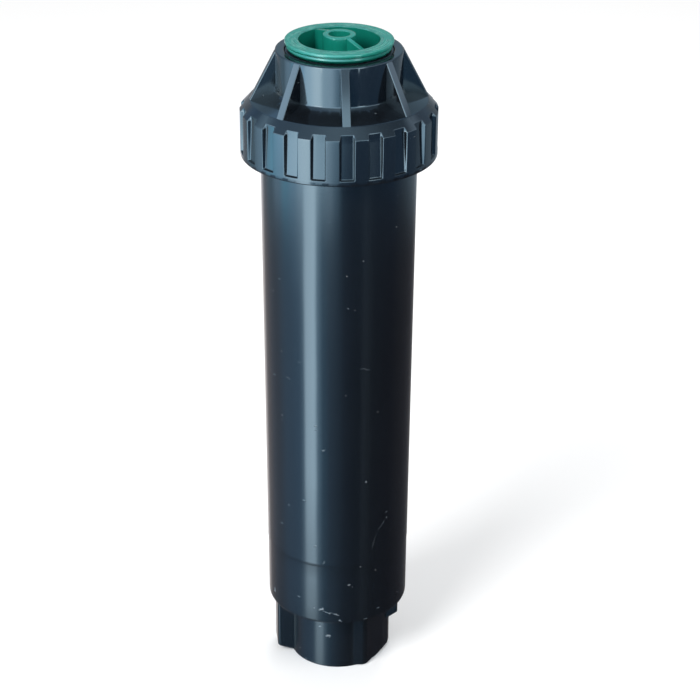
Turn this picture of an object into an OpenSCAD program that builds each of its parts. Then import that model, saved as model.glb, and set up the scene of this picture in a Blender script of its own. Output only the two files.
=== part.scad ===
// Pop-up spray sprinkler body: a buried case with a screw-on cap, a spring-returned riser and a flush plug.
// Frame: +Z up, origin at the centre of the inlet's end face. All lengths are millimetres, all angles degrees.
// Every level is measured up from the inlet's end face with the riser down.

/* [Housing] */
// Radius of the inlet boss
boss_r = 15.1; // [15:0.1:15.2]
// Height of the inlet boss, up to the underside of the tube
boss_h = 21; // [20:0.5:22]
// Outer radius of the tube at its foot
tube_foot_r = 21.85; // [21.7:0.05:22.2]
// Outer radius of the tube just under the cap
tube_head_r = 22.75; // [22.5:0.05:22.9]
// Height of the tube's rim
tube_h = 182.7; // [182.4:0.1:183]
// Radius of the bore that the ratchet ring slides in
bore_r = 20.3; // [20.2:0.05:20.4]
// Reach of the two wing lugs on the inlet boss
lug_r = 20; // [19.5:0.1:20.5]
// Number of guide ribs in the bore
guide_count = 6; // [4:1:8]

/* [Inlet thread] */
// Radius at the crests of the female thread
inlet_r = 9.35; // [9.2:0.05:9.5]
// Depth of the threaded hole
inlet_depth = 15; // [14:0.5:15.5]
// Pitch of the thread, 14 to the inch
inlet_pitch = 1.814; // [1.6:0.002:2]

/* [Cap] */
// Radius of the gripping skirt
cap_r = 28.5; // [28.2:0.1:29]
// Height of the skirt's straight side
skirt_h = 13.4; // [13:0.1:14]
// Radius of the neck round the riser
neck_r = 18.25; // [18:0.05:18.5]
// Number of gussets between the neck and the skirt
gusset_count = 8; // [6:1:10]
// Thickness of a gusset
gusset_t = 2.5; // [1.6:0.1:2.6]
// Number of grip grooves round the skirt
groove_count = 22; // [20:2:26]
// Depth of a grip groove
groove_depth = 1.2; // [0.8:0.1:1.4]
// Angle at which the cap stands when it is tight
cap_clock = 94.8; // [0:0.1:180]

/* [Screw threads] */
// Pitch of the cap's thread
cap_pitch = 4; // [3.9:0.05:4.2]
// Turns of the cap's thread
cap_turns = 1.75; // [1.5:0.05:1.8]
// Pitch of the flush plug's thread
plug_pitch = 2.5; // [2.4:0.05:2.6]
// Turns of the flush plug's thread
plug_turns = 2.25; // [2:0.05:2.3]

/* [Riser] */
// Outer radius of the riser tube
riser_r = 12; // [11.9:0.05:12.05]
// Wall of the riser tube
riser_wall = 1.8; // [1.6:0.1:2]
// Number of ratchet notches that set the riser's direction
ratchet_count = 36; // [24:12:36]

/* [Retraction spring] */
// Diameter of the spring's wire
wire_d = 1.4; // [1.2:0.1:1.4]
// Mean radius of the coils
coil_r = 16.8; // [16.5:0.1:17]
// Number of coils, the two closed ends included
coil_count = 13; // [11:1:14]

/* [Flush plug] */
// Radius of the plug's top flange
flange_r = 15.55; // [15.3:0.05:15.8]
// Radius of the bowl's mouth
bowl_r = 11.6; // [11.4:0.05:11.7]
// Radius of the hub in the bowl
hub_r = 4.65; // [4.4:0.05:4.9]
// Radius of the hole in the hub
hub_hole_r = 3.05; // [2.8:0.05:3.2]
// Angle at which the grip bar stands
plug_clock = 124; // [0:1:180]

/* [Hidden] */
$fn = 96;

// Colours
black_plastic = "#20242a";
grey_plastic = "#4a4f55";
white_plastic = "#d8d8d0";
rubber = "#151515";
steel = "#b9bdc2";
green_plastic = "#1f9478";

overlap = 0.3;                             // how far joined solids run into each other
cut = 1;                                   // how far a cutter runs past a face

// Levels of the housing
floor_z = boss_h + 3;                      // top of the tube's floor
port_r = 7.6;                              // water port between the inlet and the tube
seat_r = 9.2;                              // outside of the raised valve seat
seat_z = floor_z + 1.2;                    // top of the valve seat
collar_z = tube_h - 12.4;                  // where the tube widens to carry the cap's thread
collar_r = 23.2;                           // root of the male thread
male_crest_r = 24.3;                       // crest of the male thread
guide_h = 0.9;                             // how far a guide rib stands into the bore
guide_t = 1.2;                             // thickness of a guide rib
guide_top = tube_h - 18;                   // top of the guide ribs

// Levels of the cap
gasket_h = 1.4;                            // thickness of the gasket on the tube's rim
roof_z = tube_h + gasket_h;                // underside of the cap's roof
skirt_z = roof_z - 13.9;                   // lower edge of the skirt
edge_z = skirt_z + skirt_h;                // upper edge of the skirt's straight side
brow_r = cap_r - 2.9;                      // inner end of the chamfer above the skirt
brow_z = edge_z + 3.1;
neck_foot_z = edge_z + 5.2;                // where the neck leaves the roof
neck_z = edge_z + 17.5;                    // top of the neck
mouth_r = 15.6;                            // hole that the riser comes out of
pocket_r = 16.4;                           // pocket under the mouth that holds the wiper seal
well_z = neck_z - 1.1;                     // underside of the lip round the mouth
wipe_z = neck_z - 7.7;                     // level at which the wiper seal touches the riser
skirt_bore_r = 24.9;                       // root of the female thread
female_crest_r = 23.75;                    // crest of the female thread
seal_well_r = 20.4;                        // recess under the roof for the wiper seal's flange
seal_well_z = roof_z + 1.5;

// Levels of the seal stack
retainer_z = roof_z - 2.8;                 // underside of the seal retainer, where the spring bears
retainer_t = 2.4;
seal_flange_z = retainer_z + retainer_t + 0.05;

// Levels of the riser
check_t = 2.2;                             // thickness of the check seal
plate_z = seat_z + check_t;                // underside of the plate that carries the check seal
plate_t = 1.6;
base_z = plate_z + plate_t + 3;            // underside of the riser base's flange
base_t = 3;                                // thickness of that flange
base_flange_r = 19.1;
ratchet_z = base_z + base_t + 0.2;         // underside of the ratchet ring
ratchet_t = 3;
washer_t = 0.8;                            // thickness of the spring washer and the plug washer
spring_low = ratchet_z + ratchet_t + washer_t;
spring_high = retainer_z;
riser_bore_r = riser_r - riser_wall;
riser_foot_z = base_z + 1.2;               // lower end of the riser tube
o_ring_z = riser_foot_z + 2.4;             // level of the O-ring round the riser's foot
plug_seat_z = neck_z - 6.1;                // underside of the plug's bowl
riser_top = plug_seat_z - washer_t;
ledge_z = riser_top - 9.6;                 // ledge that the filter basket hangs on
ledge_r = riser_bore_r - 1.8;
socket_r = 10.4;                           // root of the riser's female thread
socket_crest_r = 9.65;
plug_thread_z = riser_top - 6.6;           // level at which both of the plug's threads start

// Flush plug
flange_t = 1;
barrel_r = 13.6;                           // outside of the bowl
plug_top = neck_z + 2.8;
hub_top = plug_top + 1.4;
bowl_floor_z = plug_seat_z + 1.4;
spigot_z = riser_top - 7.6;                // lower end of the threaded spigot
spigot_bore_r = 7.9;
plug_root_r = 9.35;                        // root of the male thread
plug_crest_r = 10.1;
bar_t = 1.3;                               // thickness of the grip bar

// Filter
collar_t = 1.4;
basket_r = 7.4;
basket_foot_r = 6;
basket_wall = 0.8;
basket_z = ledge_z - 42;                   // closed lower end of the basket
mesh_t = 0.25;

// ---------- Shared shapes ----------

// Solid of revolution from a closed outline of [radius, height] points.
module turned(outline) {
    rotate_extrude() polygon(outline);
}

// Ring of rectangular section.
module ring(inner_r, outer_r, low, high) {
    turned([[inner_r, low], [outer_r, low], [outer_r, high], [inner_r, high]]);
}

// Ring with a round section.
module o_ring(mid_r, section_r, height) {
    translate([0, 0, height]) rotate_extrude() translate([mid_r, 0]) circle(section_r, $fn = 24);
}

// Children repeated evenly round the axis.
module around(count, start = 0) {
    for (i = [0 : count - 1]) rotate(start + i * 360 / count) children();
}

// Plate that stands on edge, with its outline given as [radius, height] points.
module upright_plate(outline, thickness) {
    rotate([90, 0, 0]) linear_extrude(thickness, center = true) polygon(outline);
}

// Right-hand screw ridge made of short level steps. Its root is buried in the wall that carries it.
module ridge(root_r, crest_r, root_w, crest_w, pitch, turns, start_angle, start_z) {
    steps = 12;
    sweep = 360 / steps;
    for (i = [0 : round(turns * steps) - 1])
        translate([0, 0, start_z + pitch * i / steps]) rotate(start_angle + sweep * i)
            rotate_extrude(angle = sweep) polygon([
                [root_r, -root_w / 2], [crest_r, -crest_w / 2], [crest_r, crest_w / 2], [root_r, root_w / 2]
            ]);
}

// ---------- Housing ----------

// Outside of the case: boss, tube and thread collar.
module housing_outside() {
    turned([
        [0, 0], [boss_r - 0.3, 0], [boss_r, 0.3], [boss_r, boss_h], [tube_foot_r - 0.8, boss_h],
        [tube_foot_r, boss_h + 0.8], [tube_head_r, collar_z], [collar_r, collar_z + 0.4],
        [collar_r, tube_h - 0.4], [collar_r - 0.4, tube_h], [0, tube_h]
    ]);
}

// Wing lug on the right, seen from above: flat sides, a chamfered corner and a slightly slanting outer face.
module lug() {
    difference() {
        translate([0, 0, 0.2]) linear_extrude(boss_h + 0.4)
            polygon([[13, 5.9], [lug_r - 1.3, 5.9], [lug_r - 0.8, 5.2], [lug_r, -1.5], [lug_r, -2.9], [13, -2.9]]);
        turned([[boss_r + 0.2, -cut], [lug_r + 2, -cut], [lug_r + 2, 2.75], [boss_r + 0.2, 0.2]]);
    }
}

// Wing lug whose lower half is cut away on a slope.
module short_lug() {
    difference() {
        lug();
        turned([[12, -cut], [lug_r + 2, -cut], [lug_r + 2, 14.8], [12, 5]]);
    }
}

// Raised corner for a spanner, seen from above: two flats that meet at an edge.
module spanner_corner() {
    translate([0, 0, 0.3]) linear_extrude(boss_h + 0.3) polygon([
        [5, -12], [5, -14.2], [8.3, -14], [9.4, -13.5], [14.6, -5.2], [16.3, -1.8], [16.8, 0.8], [13, 2.5]
    ]);
}

// Rings that stand for the inlet's female thread, cut outwards from its crests.
module inlet_thread_cut() {
    depth = 1.05;
    crest_flat = 0.3;
    for (z = [1.2 : inlet_pitch : inlet_depth - 1.2])
        translate([0, 0, z]) rotate_extrude() polygon([
            [inlet_r - cut, -inlet_pitch / 2 + crest_flat], [inlet_r, -inlet_pitch / 2 + crest_flat],
            [inlet_r + depth, -0.1], [inlet_r + depth, 0.1],
            [inlet_r, inlet_pitch / 2 - crest_flat], [inlet_r - cut, inlet_pitch / 2 - crest_flat]
        ]);
}

module guide_rib() {
    translate([bore_r - guide_h, -guide_t / 2, floor_z - overlap])
        cube([guide_h + overlap, guide_t, guide_top - floor_z + overlap]);
}

module housing() {
    color(black_plastic) {
        difference() {
            union() {
                housing_outside();
                around(2) spanner_corner();
                rotate(180) lug();
                short_lug();
            }
            translate([0, 0, -cut]) cylinder(h = inlet_depth + cut, r = inlet_r);
            inlet_thread_cut();
            translate([0, 0, inlet_depth - 0.1]) cylinder(h = floor_z, r = port_r);
            translate([0, 0, floor_z]) cylinder(h = tube_h, r = bore_r);
        }
        ring(port_r, seat_r, floor_z - overlap, seat_z);
        around(guide_count) guide_rib();
        ridge(collar_r - overlap, male_crest_r, 2.5, 1.2, cap_pitch, cap_turns, 0, collar_z + 3);
    }
}

// ---------- Cap ----------

module cap_shell() {
    turned([
        [skirt_bore_r, skirt_z], [cap_r - 0.5, skirt_z], [cap_r, skirt_z + 0.5], [cap_r, edge_z],
        [brow_r, brow_z], [neck_r + 1, neck_foot_z], [neck_r, neck_foot_z + 1],
        [neck_r, neck_z - 0.5], [neck_r - 0.5, neck_z], [mouth_r + 0.3, neck_z], [mouth_r, neck_z - 0.3],
        [mouth_r, well_z], [pocket_r, well_z], [pocket_r, seal_well_z],
        [seal_well_r, seal_well_z], [seal_well_r, roof_z], [skirt_bore_r, roof_z]
    ]);
}

// Gusset from the top of the neck down to the brow of the skirt.
module gusset() {
    upright_plate([
        [neck_r - 1, neck_foot_z - 1.5], [neck_r - 1, neck_z - 0.3], [neck_r + 0.1, neck_z - 0.3],
        [brow_r, brow_z], [brow_r - 0.4, brow_z - 0.8]
    ], gusset_t);
}

// Grip groove with sloping sides, open at the top and closed near the skirt's lower edge.
module groove_cut() {
    floor_w = 3.3;
    mouth_w = 4.3;
    translate([cap_r - groove_depth, 0, skirt_z + 1.8])
        linear_extrude(neck_z) polygon([
            [0, -floor_w / 2], [groove_depth, -mouth_w / 2], [groove_depth + cut, -mouth_w / 2],
            [groove_depth + cut, mouth_w / 2], [groove_depth, mouth_w / 2], [0, floor_w / 2]
        ]);
}

module cap() {
    color(black_plastic) {
        difference() {
            cap_shell();
            around(groove_count, cap_clock) groove_cut();
        }
        around(gusset_count, cap_clock) gusset();
        ridge(skirt_bore_r + overlap, female_crest_r, 2.5, 1.2, cap_pitch, cap_turns, -180, collar_z + 3);
    }
}

// ---------- Seals under the cap ----------

module body_gasket() {
    color(rubber) ring(bore_r + 0.5, collar_r - 0.4, tube_h, roof_z);
}

// Wiper seal: a sleeve with a collar round the plug, a wiping lip and a flange pinched under the cap's roof.
module wiper_seal() {
    shoulder_z = well_z - 0.1;
    top = neck_z - 0.2;
    sleeve_r = 14.7;
    collar_bore_r = barrel_r + 0.3;
    lip_r = riser_r + 0.05;
    color(rubber) turned([
        [sleeve_r, seal_flange_z], [seal_well_r - 0.3, seal_flange_z],
        [seal_well_r - 0.3, seal_well_z - 0.05], [pocket_r - 0.3, seal_well_z - 0.05],
        [pocket_r - 0.3, shoulder_z], [mouth_r - 0.2, shoulder_z], [mouth_r - 0.2, top - 0.3],
        [mouth_r - 0.5, top], [collar_bore_r + 0.3, top], [collar_bore_r, top - 0.3],
        [collar_bore_r, wipe_z + 0.6], [lip_r, wipe_z],
        [lip_r, wipe_z - 0.4], [lip_r + 1, wipe_z - 1.3], [lip_r, wipe_z - 2.4], [lip_r, wipe_z - 2.8],
        [lip_r + 1.6, wipe_z - 2.1], [sleeve_r, wipe_z - 2.1]
    ]);
}

// Seal retainer: guides the riser, backs the wiper seal and takes the spring's thrust.
module seal_retainer() {
    guide_bore_r = riser_r + 0.3;
    guide_r = 14.6;
    guide_top_z = wipe_z - 3.6;
    color(white_plastic) {
        turned([
            [guide_bore_r, retainer_z], [bore_r - 0.3, retainer_z],
            [bore_r - 0.3, retainer_z + retainer_t], [guide_r, retainer_z + retainer_t],
            [guide_r, guide_top_z], [guide_bore_r, guide_top_z]
        ]);
    }
}

// ---------- Retraction spring ----------

coil_sides = 6;
coil_steps = 18;
closed_share = 1 / coil_count;             // share of the wire in each closed end

// Height of the wire's centre along the spring, for t from 0 to 1: closed coils at both ends.
function coil_z(t) =
    let (low = spring_low + wire_d / 2, high = spring_high - wire_d / 2)
    t < closed_share ? low + wire_d * t / closed_share :
    t > 1 - closed_share ? high - wire_d * (1 - t) / closed_share :
    low + wire_d + (high - low - 2 * wire_d) * (t - closed_share) / (1 - 2 * closed_share);

module retraction_spring() {
    rings = coil_count * coil_steps;
    points = [
        for (i = [0 : rings], k = [0 : coil_sides - 1])
            let (
                turn = 360 * i / coil_steps,
                side = 360 * k / coil_sides,
                r = coil_r + wire_d / 2 * cos(side)
            )
            [r * cos(turn), r * sin(turn), coil_z(i / rings) + wire_d / 2 * sin(side)]
    ];
    sides = [
        for (i = [0 : rings - 1], k = [0 : coil_sides - 1])
            let (a = coil_sides * i + k, b = coil_sides * i + (k + 1) % coil_sides)
            each [[a, b, b + coil_sides], [a, b + coil_sides, a + coil_sides]]
    ];
    low_end = [for (k = [coil_sides - 1 : -1 : 0]) k];
    high_end = [for (k = [0 : coil_sides - 1]) coil_sides * rings + k];
    faces = concat(sides, [low_end, high_end]);
    color(steel) polyhedron(points, [for (f = faces) [for (j = [len(f) - 1 : -1 : 0]) f[j]]]);
}

// ---------- Riser and its foot ----------

module spring_washer() {
    color(white_plastic) ring(14.8, 18.6, spring_low - washer_t, spring_low);
}

// Ratchet ring: keyed to the housing's guide ribs, notched inside for the riser's pawls.
module ratchet_ring() {
    notch_r = 14.6;
    crest_r = 13.8;
    key_gap = 0.3;
    outline = [
        for (i = [0 : 2 * ratchet_count - 1])
            (i % 2 == 0 ? notch_r : crest_r) * [cos(180 * i / ratchet_count), sin(180 * i / ratchet_count)]
    ];
    color(white_plastic) translate([0, 0, ratchet_z]) difference() {
        cylinder(h = ratchet_t, r = bore_r - 0.3);
        translate([0, 0, -cut]) linear_extrude(ratchet_t + 2 * cut) polygon(outline);
        around(guide_count)
            translate([bore_r - guide_h - key_gap, -guide_t / 2 - key_gap, -cut])
                cube([guide_h + cut, guide_t + 2 * key_gap, ratchet_t + 2 * cut]);
    }
}

module o_ring_groove() {
    o_ring(riser_r + 0.05, 0.6, o_ring_z);
}

module riser_tube() {
    color(black_plastic) {
        difference() {
            turned([
                [riser_bore_r, riser_foot_z], [riser_r, riser_foot_z],
                [riser_r, riser_top - 0.4], [riser_r - 0.4, riser_top],
                [socket_r, riser_top], [socket_r, ledge_z], [ledge_r, ledge_z],
                [ledge_r, ledge_z - 1.6], [riser_bore_r, ledge_z - 3.4]
            ]);
            o_ring_groove();
        }
        ridge(socket_r + overlap, socket_crest_r, 1.5, 0.7, plug_pitch, plug_turns, -180, plug_thread_z);
    }
}

// Riser base: a flange with a socket for the riser tube, and a plate on four legs for the check seal.
module riser_base() {
    socket_bore_r = riser_r + 0.02;
    socket_out_r = 13.4;
    socket_top = ratchet_z + ratchet_t - 0.4;
    color(grey_plastic) difference() {
        union() {
            ring(riser_bore_r, base_flange_r, base_z, base_z + base_t);
            ring(socket_bore_r, socket_out_r, base_z + overlap, socket_top);
            ring(2.05, 9.8, plate_z, plate_z + plate_t);
            around(4, 45) translate([7.4, -1.6, plate_z + overlap])
                cube([4.4, 3.2, base_z - plate_z + 1]);
            around(2) translate([socket_out_r - 0.4, -0.35, ratchet_z + 0.3])
                cube([1.2, 0.7, ratchet_t - 0.8]);
        }
        ring(riser_bore_r - 4, socket_bore_r, riser_foot_z, socket_top + cut);
        o_ring_groove();
        around(8, 22.5) translate([16.4, 0, base_z - cut]) cylinder(h = base_t + 2 * cut, r = 1.5);
    }
}

module base_o_ring() {
    color(rubber) o_ring(riser_r + 0.05, 0.57, o_ring_z);
}

// ---------- Check valve in the riser's foot ----------

module check_seal() {
    color(rubber) turned([
        [2.05, seat_z], [9.3, seat_z], [9.8, seat_z + 0.5], [9.8, plate_z], [2.05, plate_z]
    ]);
}

// Button pushed up through the check seal and the plate, with a barbed head that snaps over the plate.
module check_button() {
    barb_z = plate_z + plate_t + 0.05;
    color(grey_plastic) turned([
        [0, seat_z - 1.4], [4.4, seat_z - 1.4], [5, seat_z - 0.8], [5, seat_z - 0.02], [2, seat_z - 0.02],
        [2, barb_z], [2.5, barb_z], [2.5, barb_z + 0.4], [1.4, barb_z + 1.4], [0, barb_z + 1.4]
    ]);
}

// ---------- Filter ----------

module filter_basket() {
    window_h = 7.6;
    color(white_plastic) difference() {
        turned([
            [0, basket_z], [basket_foot_r, basket_z], [basket_r, ledge_z - 3], [basket_r, ledge_z],
            [plug_root_r, ledge_z], [plug_root_r, ledge_z + collar_t],
            [basket_r - basket_wall, ledge_z + collar_t], [basket_r - basket_wall, ledge_z - 3],
            [basket_foot_r - basket_wall, basket_z + 1], [0, basket_z + 1]
        ]);
        for (row = [0 : 3])
            around(6, 30 * row) translate([2, -1.9, basket_z + 2.4 + row * 9.2])
                cube([basket_r, 3.8, window_h]);
    }
}

// Fine sleeve that lines the basket.
module filter_mesh() {
    gap = 0.05;
    low_r = basket_foot_r - basket_wall - gap;
    high_r = basket_r - basket_wall - gap;
    color(steel) turned([
        [low_r - mesh_t, basket_z + 1], [low_r, basket_z + 1], [high_r, ledge_z - 3.5],
        [high_r - mesh_t, ledge_z - 3.5]
    ]);
}

// ---------- Flush plug ----------

module plug_washer() {
    color(rubber) ring(plug_crest_r + 0.3, riser_r - 0.5, riser_top, plug_seat_z);
}

// Half of the grip bar: from the hub out to the bowl's wall, with its top sloping down outwards.
module bar_half() {
    upright_plate([
        [hub_hole_r + 0.5, bowl_floor_z - overlap], [bowl_r + overlap, bowl_floor_z - overlap],
        [bowl_r + overlap, plug_top - 0.1], [hub_r - 0.2, hub_top - 0.2], [hub_hole_r + 0.5, hub_top - 0.2]
    ], bar_t);
}

// Bowl with a hub and a grip bar across it, on a threaded spigot that is closed at its top.
module flush_plug() {
    groove_z = plug_top - flange_t;
    color(green_plastic) {
        difference() {
            turned([
                [0, spigot_z], [plug_root_r, spigot_z], [plug_root_r, plug_seat_z], [barrel_r, plug_seat_z],
                [barrel_r, groove_z - 1.95], [flange_r - 0.8, groove_z - 1.6], [flange_r - 0.45, groove_z - 1],
                [flange_r - 0.45, groove_z - 0.35], [flange_r - 0.9, groove_z - 0.35],
                [flange_r - 0.9, groove_z],
                [flange_r, groove_z], [flange_r, plug_top - 0.2], [flange_r - 0.2, plug_top],
                [bowl_r + 0.2, plug_top], [bowl_r, plug_top - 0.2], [bowl_r, bowl_floor_z], [0, bowl_floor_z]
            ]);
            translate([0, 0, spigot_z - cut]) cylinder(h = riser_top - spigot_z + cut, r = spigot_bore_r);
        }
        ring(hub_hole_r, hub_r, bowl_floor_z - overlap, hub_top);
        around(2, plug_clock) bar_half();
        ridge(plug_root_r - overlap, plug_crest_r, 1.5, 0.7, plug_pitch, plug_turns, 0, plug_thread_z);
    }
}

// ---------- Assembly ----------

housing();
cap();
body_gasket();
wiper_seal();
seal_retainer();
retraction_spring();
spring_washer();
ratchet_ring();
riser_tube();
riser_base();
base_o_ring();
check_seal();
check_button();
filter_basket();
filter_mesh();
plug_washer();
flush_plug();
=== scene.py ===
"""Pop up sprinkler: the visible pieces, materials, light and camera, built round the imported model.

Shapes are in millimetres, in the part's own frame, until a mesh is made. Shader nodes, the camera and the
room are in metres. Angles are in degrees.
"""

import math

import bmesh
import bpy
from mathutils import Matrix, Vector


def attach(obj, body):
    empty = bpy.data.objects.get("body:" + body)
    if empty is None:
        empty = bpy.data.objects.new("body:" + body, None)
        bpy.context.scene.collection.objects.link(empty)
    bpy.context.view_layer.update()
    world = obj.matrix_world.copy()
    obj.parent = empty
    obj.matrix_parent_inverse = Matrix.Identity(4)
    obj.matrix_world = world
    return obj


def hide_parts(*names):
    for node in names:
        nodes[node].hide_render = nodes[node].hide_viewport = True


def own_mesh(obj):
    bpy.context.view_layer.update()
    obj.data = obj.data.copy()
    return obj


MM = 0.001

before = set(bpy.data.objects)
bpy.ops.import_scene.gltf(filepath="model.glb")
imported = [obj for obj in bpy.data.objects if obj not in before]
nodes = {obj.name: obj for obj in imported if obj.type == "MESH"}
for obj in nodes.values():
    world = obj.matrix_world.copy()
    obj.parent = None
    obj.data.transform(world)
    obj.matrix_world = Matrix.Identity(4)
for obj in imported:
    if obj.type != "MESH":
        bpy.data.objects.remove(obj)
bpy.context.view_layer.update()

# Heights, as in the CAD part.
BOSS_TOP = 21.0
CASE_FLOOR = 24.0
SKIRT_Z = 170.2
CASE_TOP = 182.7
EDGE_Z = 183.6
ROOF_Z = 184.1
RISER_TOP = 194.2
PLUG_SEAT_Z = 195.0
NECK_Z = 201.1
PLUG_TOP = 203.9

# Radii, as in the CAD part.
INLET_R = 9.35
PLUG_THREAD_R = 9.35
RISER_THREAD_R = 10.4
RISER_R = 12.0
BOSS_R = 15.1
CASE_BORE_R = 20.3
FOOT_R = 21.85
CASE_THREAD_R = 23.2
CAP_THREAD_R = 24.9
SKIRT_R = 28.5

# Thread pitches.
PIPE_PITCH = 1.814
CAP_PITCH = 4.0
PLUG_PITCH = 2.5

# What repeats round the cap, the direction of its first groove and gusset, and that of the plug's bar.
GROOVES = 22
GUSSETS = 8
CAP_CLOCK = 94.8
PLUG_CLOCK = 124.0

WHITE = (0.97, 0.97, 0.97, 1)


# ---------------------------------------------------------------- camera

def make_camera():
    """Long lens in front of the part, looking down at it."""
    tilt_down = 26.3
    roll = 0.2
    data = bpy.data.cameras.new("camera")
    data.sensor_width = 36
    data.lens = 100.1
    data.shift_x = 0.0168
    data.clip_start = 0.01
    data.clip_end = 50
    camera = bpy.data.objects.new("camera", data)
    camera.location = (0, -0.530, 0.368)
    pitch = Matrix.Rotation(math.radians(90 - tilt_down), 3, "X")
    camera.rotation_euler = (pitch @ Matrix.Rotation(math.radians(roll), 3, "Z")).to_euler()
    bpy.context.scene.collection.objects.link(camera)
    bpy.context.scene.camera = camera


make_camera()


# ---------------------------------------------------------------- mesh building

def smooth(edge0, edge1, x):
    """0 before edge0, 1 after edge1, eased in between."""
    t = min(1.0, max(0.0, (x - edge0) / (edge1 - edge0)))
    return t * t * (3 - 2 * t)


def rounded(corners, steps=4, closed=True):
    """Outline of (x, y, fillet radius) corners with each corner turned into an arc."""
    longest_share = 0.48
    out = []
    n = len(corners)
    for i, (x, y, radius) in enumerate(corners):
        if radius <= 0 or (not closed and i in (0, n - 1)):
            out.append((x, y))
            continue
        here = Vector((x, y))
        before = Vector(corners[i - 1][:2]) - here
        after = Vector(corners[(i + 1) % n][:2]) - here
        half = before.angle(after) / 2
        longest = min(before.length * longest_share, after.length * longest_share)
        reach = min(radius / math.tan(half), longest)
        start = here + before.normalized() * reach
        end = here + after.normalized() * reach
        for k in range(steps + 1):
            t = k / steps
            out.append(tuple((1 - t) ** 2 * start + 2 * t * (1 - t) * here + t * t * end))
    return out


def split(outline, longest):
    """An open outline with extra points, so that no stretch is longer than longest."""
    out = []
    for start, end in zip(outline, outline[1:]):
        a, b = Vector(start), Vector(end)
        parts = max(1, math.ceil((b - a).length / longest))
        out += [tuple(a.lerp(b, k / parts)) for k in range(parts)]
    return out + [outline[-1]]


def fine_rows(low, high, step):
    """Heights from low to high, about a step apart."""
    count = round(abs(high - low) / step)
    return [low + (high - low) * i / count for i in range(count + 1)]


def even(count):
    """Evenly spaced column angles."""
    return [360 * i / count for i in range(count)]


def prism(first, second):
    """Small solid between two outlines with the same number of corners."""
    bm = bmesh.new()
    near = [bm.verts.new(point) for point in first]
    far = [bm.verts.new(point) for point in second]
    bm.faces.new(near)
    bm.faces.new(list(reversed(far)))
    n = len(near)
    for i in range(n):
        j = (i + 1) % n
        bm.faces.new((near[j], near[i], far[i], far[j]))
    return bm


class Shell:
    """Vertices and faces of one piece, in millimetres."""

    def __init__(self):
        self.verts = []
        self.faces = []

    def lathe(self, outline, columns, shape=None, closed=True):
        """Turns an outline of (radius, height) about the axis. shape(r, z, angle) may change a radius."""
        rows = []
        for r, z in outline:
            if not closed and r < 1e-6:
                rows.append([len(self.verts)])
                self.verts.append((0.0, 0.0, z))
                continue
            row = []
            for angle in columns:
                moved = shape(r, z, angle) if shape else r
                a = math.radians(angle)
                row.append(len(self.verts))
                self.verts.append((moved * math.cos(a), moved * math.sin(a), z))
            rows.append(row)
        n = len(columns)
        pairs = list(zip(rows, rows[1:])) + ([(rows[-1], rows[0])] if closed else [])
        for low, high in pairs:
            for i in range(n):
                j = (i + 1) % n
                if len(low) == 1:
                    self.faces.append((low[0], high[j], high[i]))
                elif len(high) == 1:
                    self.faces.append((low[i], low[j], high[0]))
                else:
                    self.faces.append((low[i], low[j], high[j], high[i]))

    def plate(self, outline, thickness, edge, turn):
        """Upright plate of an outline of (radius, height), with rounded rims, turned about the axis."""
        half = thickness / 2
        bm = prism([(r, -half, z) for r, z in outline], [(r, half, z) for r, z in outline])
        rims = [e for e in bm.edges if e.verts[0].co.y * e.verts[1].co.y > 0]
        self.take(bm, rims, edge, turn)

    def block(self, plan, underside, top, edge, turn):
        """Upright prism of a plan, with rounded edges, turned. underside(x, y) is its foot."""
        bm = prism([(x, y, underside(x, y)) for x, y in plan], [(x, y, top) for x, y in plan])
        self.take(bm, bm.edges[:], edge, turn)

    def take(self, bm, rims, edge, turn):
        """Rounds the rims of a small solid, turns it about the axis and adds it."""
        turning = Matrix.Rotation(math.radians(turn), 3, "Z")
        bmesh.ops.recalc_face_normals(bm, faces=bm.faces[:])
        bmesh.ops.bevel(bm, geom=rims, offset=edge, segments=3, profile=0.5, affect="EDGES")
        bmesh.ops.rotate(bm, verts=bm.verts[:], cent=(0, 0, 0), matrix=turning)
        base = len(self.verts)
        bm.verts.index_update()
        self.verts += [tuple(v.co) for v in bm.verts]
        self.faces += [tuple(base + v.index for v in f.verts) for f in bm.faces]
        bm.free()

    def tube(self, path, radius, sides):
        """Round wire along a path, with flat ends."""
        base = len(self.verts)
        n = len(path)
        points = [Vector(p) for p in path]
        for i, p in enumerate(points):
            along = (points[min(n - 1, i + 1)] - points[max(0, i - 1)]).normalized()
            out = Vector((p.x, p.y, 0)).normalized()
            up = along.cross(out).normalized()
            out = up.cross(along)
            for k in range(sides):
                a = 2 * math.pi * k / sides
                self.verts.append(tuple(p + radius * (math.cos(a) * out + math.sin(a) * up)))
        for i in range(n - 1):
            for k in range(sides):
                a, b = base + i * sides + k, base + i * sides + (k + 1) % sides
                self.faces.append((a, a + sides, b + sides, b))
        self.faces.append(tuple(base + k for k in range(sides)))
        self.faces.append(tuple(base + (n - 1) * sides + k for k in reversed(range(sides))))

    def build(self, name, body, stands_for, material):
        """Makes the piece, rides it on its body and puts it in place of its CAD node."""
        mesh = bpy.data.meshes.new(name)
        mesh.from_pydata([(x * MM, y * MM, z * MM) for x, y, z in self.verts], [], self.faces)
        bm = bmesh.new()
        bm.from_mesh(mesh)
        bmesh.ops.recalc_face_normals(bm, faces=bm.faces[:])
        bm.to_mesh(mesh)
        bm.free()
        mesh.polygons.foreach_set("use_smooth", [True] * len(mesh.polygons))
        mesh.materials.append(material)
        mesh.update()
        piece = bpy.data.objects.new(name, mesh)
        bpy.context.scene.collection.objects.link(piece)
        weighted = piece.modifiers.new("weighted_normals", "WEIGHTED_NORMAL")
        weighted.mode = "FACE_AREA"
        weighted.weight = 100
        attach(piece, body)
        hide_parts(stands_for)
        return piece


def on_wall(r, wall_r):
    """Whether a point of an outline lies on the wall of that radius."""
    return abs(r - wall_r) < 0.01


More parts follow.
